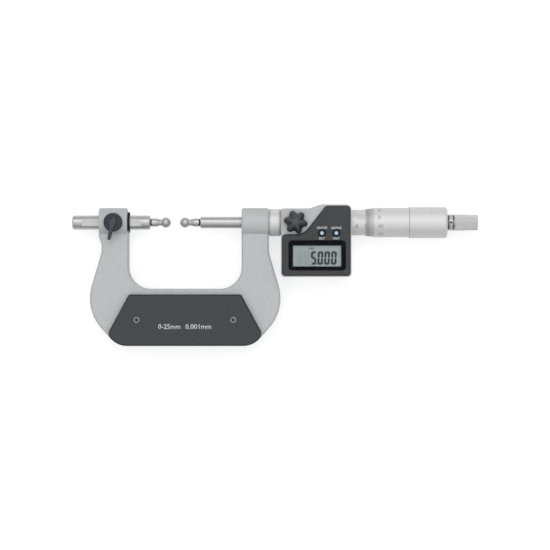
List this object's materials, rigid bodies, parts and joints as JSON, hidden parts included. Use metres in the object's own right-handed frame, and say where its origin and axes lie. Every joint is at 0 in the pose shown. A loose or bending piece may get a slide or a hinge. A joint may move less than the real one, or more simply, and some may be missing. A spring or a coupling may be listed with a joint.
{
  "type": "gear tooth micrometer",
  "caption": "Digital outside micrometer with ball tips for gear teeth, deep U frame with grip plates, display housing, graduated thimble and ratchet, lying on its back.",
  "frame": {"origin": "middle of the rear grip plate's outer face, on which the tool lies", "axes": "+X along the spindle from the anvil to the ratchet, +Y from the foot of the frame to the spindle, +Z out of the display"},
  "size_m": [0.2301, 0.0801, 0.0279],
  "materials": {
    "frame_paint": "fine grained light grey stoved paint",
    "housing_paint": "die casting in fine grained light grey paint",
    "grip_plastic": "moulded dark grey plastic",
    "panel_plastic": "moulded charcoal plastic, fine grain",
    "knob_plastic": "moulded black plastic",
    "lever_metal": "blackened steel",
    "ground_steel": "ground and lapped steel",
    "satin_chrome": "satin chrome, dull glare-free plating",
    "knurled_steel": "knurled matt steel",
    "screw_steel": "bright screws",
    "black_rubber": "black rubber",
    "button_plastic": "dark blue moulded button",
    "window_clear": "clear pane",
    "lcd_glass": "reflective display glass, grey green",
    "board": "glass epoxy board",
    "inner_plastic": "natural moulded plastic",
    "brass": "turned brass",
    "felt": "dense felt wiper",
    "cell_steel": "nickel plated cell"
  },
  "bodies": {
    "root": {"frame": "frame_paint", "front_grip_plate": "grip_plastic", "rear_grip_plate": "grip_plastic", "grip_plate_screws": "screw_steel", "anvil_ring": "black_rubber", "guide_tube": "satin_chrome", "spindle_wiper": "felt", "housing_body": "housing_paint", "display_panel": "panel_plastic", "panel_screws": "screw_steel", "display_window": "window_clear", "lcd_module": "lcd_glass", "lcd_contact_strips": "black_rubber", "main_circuit_board": "board", "key_membrane": "black_rubber", "battery_sleeve": "inner_plastic", "battery": "cell_steel", "battery_contact": "brass", "encoder_stator": "board", "thread_sleeve": "ground_steel", "adjusting_nut": "ground_steel", "graduated_sleeve": "satin_chrome"},
    "anvil": {"anvil_rod": "ground_steel", "anvil_ball_tip": "ground_steel"},
    "anvil_lock_plug": {"anvil_lock_plug": "brass"},
    "anvil_lock_lever": {"anvil_lock_lever": "lever_metal"},
    "encoder_rotor": {"encoder_rotor": "inner_plastic", "rotor_key": "brass"},
    "spindle": {"spindle": "ground_steel", "spindle_ball_tip": "ground_steel", "thimble": "satin_chrome", "thimble_grip": "satin_chrome", "thimble_cap_nut": "ground_steel", "ratchet_crown": "ground_steel", "ratchet_screw": "screw_steel"},
    "ratchet": {"ratchet_cap": "knurled_steel", "ratchet_disc": "ground_steel", "ratchet_spring": "ground_steel"},
    "spindle_lock_plug": {"spindle_lock_plug": "brass"},
    "spindle_lock_knob": {"spindle_lock_knob": "knob_plastic"},
    "on_off_button": {"on_off_button": "button_plastic"},
    "unit_button": {"unit_button": "button_plastic"},
    "battery_cap": {"battery_cap": "panel_plastic", "battery_cap_seal": "black_rubber"}
  },
  "joints": [
    {"name": "spindle_turn", "type": "hinge", "parent": "root", "child": "encoder_rotor", "pos_m": [0.078, 0.0552, 0.0088], "axis": [1, 0, 0], "range_deg": [-3589.6, 14404]},
    {"name": "spindle_feed", "type": "slide", "parent": "encoder_rotor", "child": "spindle", "axis": [1, 0, 0], "range_m": [-0.00498, 0.02]},
    {"name": "ratchet_turn", "type": "hinge", "parent": "spindle", "child": "ratchet", "pos_m": [0.158, 0.0552, 0.0088], "axis": [1, 0, 0], "continuous": true},
    {"name": "anvil_adjust", "type": "slide", "parent": "root", "child": "anvil", "axis": [1, 0, 0], "range_m": [-0.01, 0]},
    {"name": "anvil_lock_press", "type": "slide", "parent": "root", "child": "anvil_lock_plug", "axis": [0, 0, 1], "range_m": [0, 0.0001875]},
    {"name": "anvil_lock_turn", "type": "hinge", "parent": "anvil_lock_plug", "child": "anvil_lock_lever", "pos_m": [-0.0406, 0.0552, 0.0188], "axis": [0, 0, 1], "range_deg": [-1, 91]},
    {"name": "spindle_lock_press", "type": "slide", "parent": "root", "child": "spindle_lock_plug", "axis": [0, 0, 1], "range_m": [-0.00024444, 0.0004]},
    {"name": "spindle_lock_turn", "type": "hinge", "parent": "spindle_lock_plug", "child": "spindle_lock_knob", "pos_m": [0.0625, 0.0552, 0.0228], "axis": [0, 0, 1], "range_deg": [-111, 181]},
    {"name": "on_off_press", "type": "slide", "parent": "root", "child": "on_off_button", "axis": [0, 0, -1], "range_m": [0, 0.0004], "stiffness_N_per_m": 400, "springref_m": -0.0004},
    {"name": "unit_press", "type": "slide", "parent": "root", "child": "unit_button", "axis": [0, 0, -1], "range_m": [0, 0.0004], "stiffness_N_per_m": 400, "springref_m": -0.0004},
    {"name": "battery_cap_turn", "type": "hinge", "parent": "root", "child": "battery_cap", "pos_m": [0.0739, 0.036, 0.0018], "axis": [0, 0, 1], "range_deg": [0, 90]}
  ],
  "couplings": [
    {"joint": "spindle_turn", "follows": "spindle_feed", "rad_per_m": 12566},
    {"joint": "anvil_lock_turn", "follows": "anvil_lock_press", "rad_per_m": 8377.6},
    {"joint": "spindle_lock_turn", "follows": "spindle_lock_press", "rad_per_m": 7854}
  ]
}
